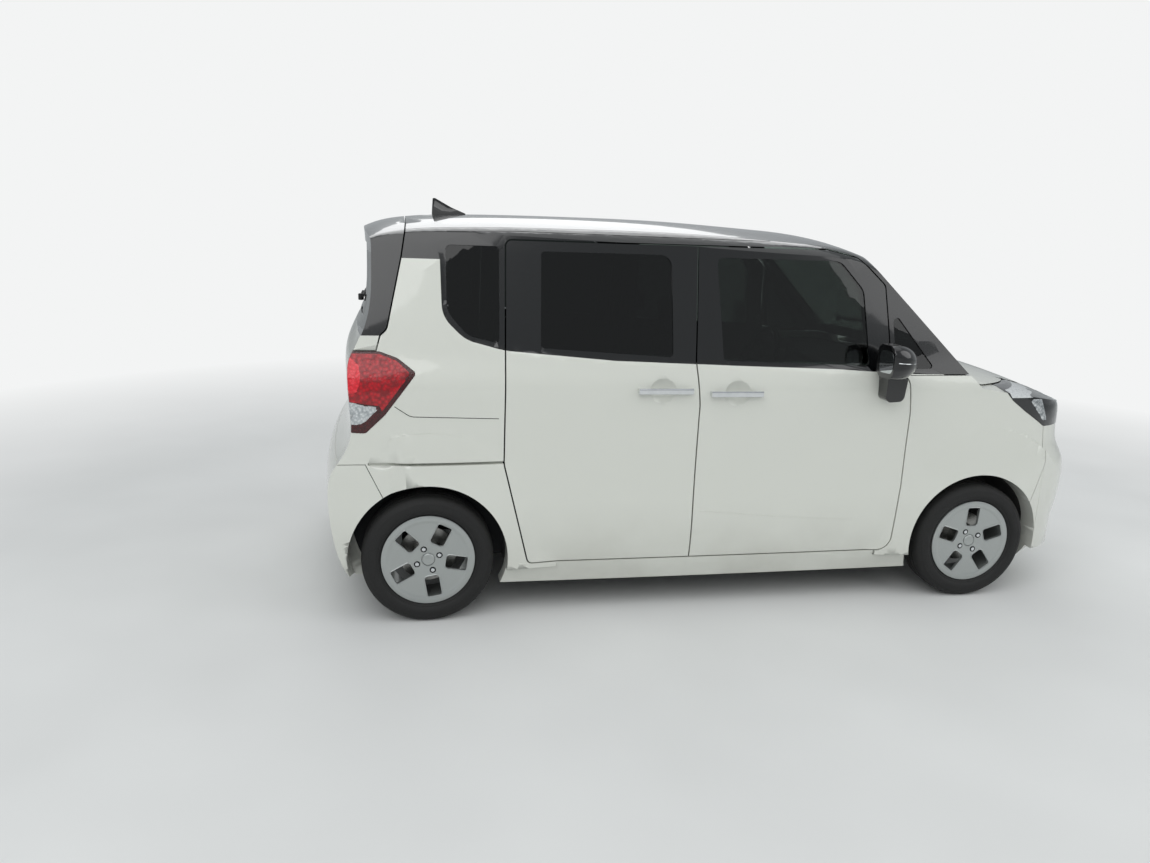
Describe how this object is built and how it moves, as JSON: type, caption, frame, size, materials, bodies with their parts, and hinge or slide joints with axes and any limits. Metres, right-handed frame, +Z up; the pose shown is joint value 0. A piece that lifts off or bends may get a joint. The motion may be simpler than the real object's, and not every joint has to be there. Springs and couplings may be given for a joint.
{
  "type": "city car",
  "caption": "Tall two-tone city car with a hinged front door and a sliding rear door on its right side, a short sloping bonnet and a lifting tailgate; its wheels steer and roll.",
  "frame": {"origin": "on the ground below the middle of the body's length and width", "axes": "+X towards the nose, +Y to the left side, +Z up"},
  "size_m": [3.595, 1.925, 1.7509],
  "materials": {
    "white_paint": "gloss",
    "black_paint": "gloss",
    "dark_glass": "tinted, gloss",
    "clear_lamp": "clear cover over bright inner parts",
    "red_lamp": "clear red cover",
    "black_plastic": "grained",
    "grey_plastic": "grained",
    "seat_fabric": "woven",
    "floor_steel": "satin",
    "chassis_steel": "satin",
    "cast_iron": "rough",
    "engine_alloy": "cast",
    "exhaust_steel": "dull",
    "wheel_alloy": "painted silver",
    "tyre": "matte"
  },
  "bodies": {
    "body": {"floor_pan": "floor_steel", "side_frame_right": "white_paint", "side_frame_left": "white_paint", "roof_panel": "black_paint", "front_structure": "floor_steel", "fender_right": "white_paint", "fender_left": "white_paint", "front_bumper": "white_paint", "rear_bumper": "white_paint", "slide_door": "white_paint", "slide_door_glass": "dark_glass", "windscreen": "dark_glass", "quarter_windows": "dark_glass", "headlamps": "clear_lamp", "tail_lamps": "red_lamp", "cowl": "black_plastic", "front_seats": "seat_fabric", "rear_seat": "seat_fabric", "dashboard": "grey_plastic", "front_suspension": "chassis_steel", "rear_axle": "chassis_steel", "radiator": "black_plastic", "engine": "engine_alloy", "exhaust": "exhaust_steel", "fuel_tank": "black_plastic"},
    "front_door_right": {"front_door_right": "white_paint", "front_door_glass_right": "dark_glass", "mirror_right": "black_paint"},
    "front_door_left": {"front_door_left": "white_paint", "front_door_glass_left": "dark_glass", "mirror_left": "black_paint"},
    "rear_door_left": {"rear_door_left": "white_paint", "rear_door_glass_left": "dark_glass"},
    "bonnet": {"bonnet": "white_paint"},
    "tailgate": {"tailgate": "white_paint", "rear_screen": "dark_glass"},
    "fuel_lid": {"fuel_lid": "white_paint"},
    "knuckle_right": {"knuckle_right": "cast_iron"},
    "knuckle_left": {"knuckle_left": "cast_iron"},
    "steering_wheel": {"steering_wheel": "black_plastic"},
    "wheel_front_right": {"tyre_front_right": "tyre", "rim_front_right": "wheel_alloy"},
    "wheel_front_left": {"tyre_front_left": "tyre", "rim_front_left": "wheel_alloy"},
    "wheel_rear_right": {"tyre_rear_right": "tyre", "rim_rear_right": "wheel_alloy"},
    "wheel_rear_left": {"tyre_rear_left": "tyre", "rim_rear_left": "wheel_alloy"}
  },
  "joints": [
    {"name": "front_door_right_hinge", "type": "hinge", "parent": "body", "child": "front_door_right", "pos_m": [0.7665, -0.793, 0.7], "axis": [0, 0, 1], "range_deg": [0, 65]},
    {"name": "front_door_left_hinge", "type": "hinge", "parent": "body", "child": "front_door_left", "pos_m": [0.7665, 0.793, 0.7], "axis": [0, 0, -1], "range_deg": [0, 65]},
    {"name": "rear_door_left_hinge", "type": "hinge", "parent": "body", "child": "rear_door_left", "pos_m": [-0.2245, 0.793, 0.7], "axis": [0, 0, -1], "range_deg": [0, 70]},
    {"name": "bonnet_hinge", "type": "hinge", "parent": "body", "child": "bonnet", "pos_m": [1.0525, 0, 1.112], "axis": [0, -1, 0], "range_deg": [0, 50]},
    {"name": "tailgate_hinge", "type": "hinge", "parent": "body", "child": "tailgate", "pos_m": [-1.4415, 0, 1.674], "axis": [0, 1, 0], "range_deg": [0, 85]},
    {"name": "fuel_lid_hinge", "type": "hinge", "parent": "body", "child": "fuel_lid", "pos_m": [-1.2915, 0.777, 0.872], "axis": [0, 0, -1], "range_deg": [0, 90]},
    {"name": "steer_left", "type": "hinge", "parent": "body", "child": "knuckle_left", "pos_m": [1.1625, 0.644, 0.16], "axis": [0, -0.1552, 0.9879], "range_deg": [-35, 35]},
    {"name": "steer_right", "type": "hinge", "parent": "body", "child": "knuckle_right", "pos_m": [1.1625, -0.644, 0.16], "axis": [0, 0.1552, 0.9879], "range_deg": [-35, 35]},
    {"name": "steering_wheel_turn", "type": "hinge", "parent": "body", "child": "steering_wheel", "pos_m": [0.4825, 0.35, 0.96], "axis": [-0.8988, 0, 0.4384], "range_deg": [-525, 525]},
    {"name": "wheel_front_right_spin", "type": "hinge", "parent": "knuckle_right", "child": "wheel_front_right", "pos_m": [1.1625, -0.7, 0.2768], "axis": [0, 1, 0], "continuous": true},
    {"name": "wheel_front_left_spin", "type": "hinge", "parent": "knuckle_left", "child": "wheel_front_left", "pos_m": [1.1625, 0.7, 0.2768], "axis": [0, 1, 0], "continuous": true},
    {"name": "wheel_rear_right_spin", "type": "hinge", "parent": "body", "child": "wheel_rear_right", "pos_m": [-1.3575, -0.7, 0.2768], "axis": [0, 1, 0], "continuous": true},
    {"name": "wheel_rear_left_spin", "type": "hinge", "parent": "body", "child": "wheel_rear_left", "pos_m": [-1.3575, 0.7, 0.2768], "axis": [0, 1, 0], "continuous": true}
  ],
  "couplings": [
    {"joint": "steer_right", "follows": "steer_left", "ratio": 1},
    {"joint": "steering_wheel_turn", "follows": "steer_left", "ratio": 15}
  ]
}
